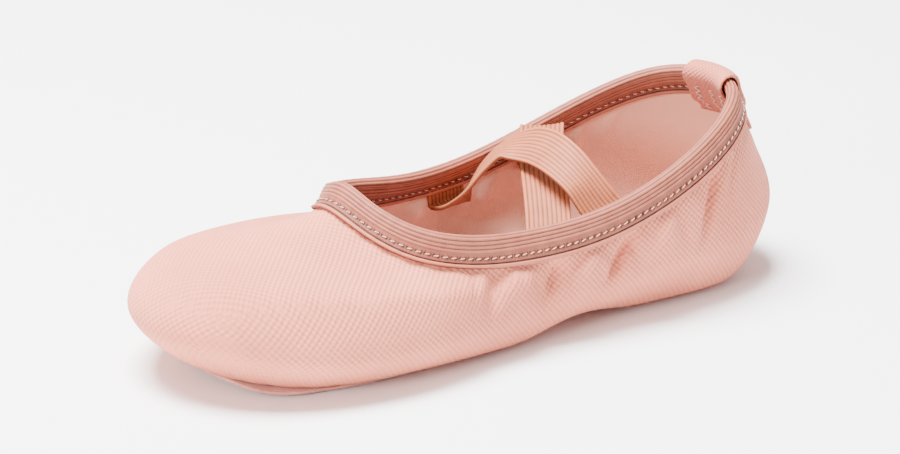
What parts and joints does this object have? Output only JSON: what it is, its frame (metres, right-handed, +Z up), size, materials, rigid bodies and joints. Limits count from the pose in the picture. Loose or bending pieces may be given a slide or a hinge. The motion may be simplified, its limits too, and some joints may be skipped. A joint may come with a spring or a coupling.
{
  "type": "ballet shoe",
  "caption": "Soft canvas ballet slipper with a split suede sole, an elastic-bound collar, two crossed elastic straps and a canvas pull loop at the heel.",
  "frame": {"origin": "on the floor, below the middle of the shoe's length and width", "axes": "+X from heel to toe, +Y across the shoe, +Z up from the floor"},
  "size_m": [0.2393, 0.0918, 0.069],
  "materials": {
    "canvas": "matte plain-weave cotton canvas",
    "insole": "matte brushed lining cloth over foam",
    "suede": "napped suede",
    "binding": "ribbed elastic tape with a soft sheen",
    "elastic": "ribbed woven elastic",
    "loop": "matte plain-weave cotton canvas"
  },
  "bodies": {
    "root": {"upper": "canvas", "insole": "insole", "sole_forefoot": "suede", "sole_heel": "suede", "collar_binding": "binding", "strap_over": "elastic", "strap_under": "elastic", "heel_loop": "loop"}
  },
  "joints": []
}
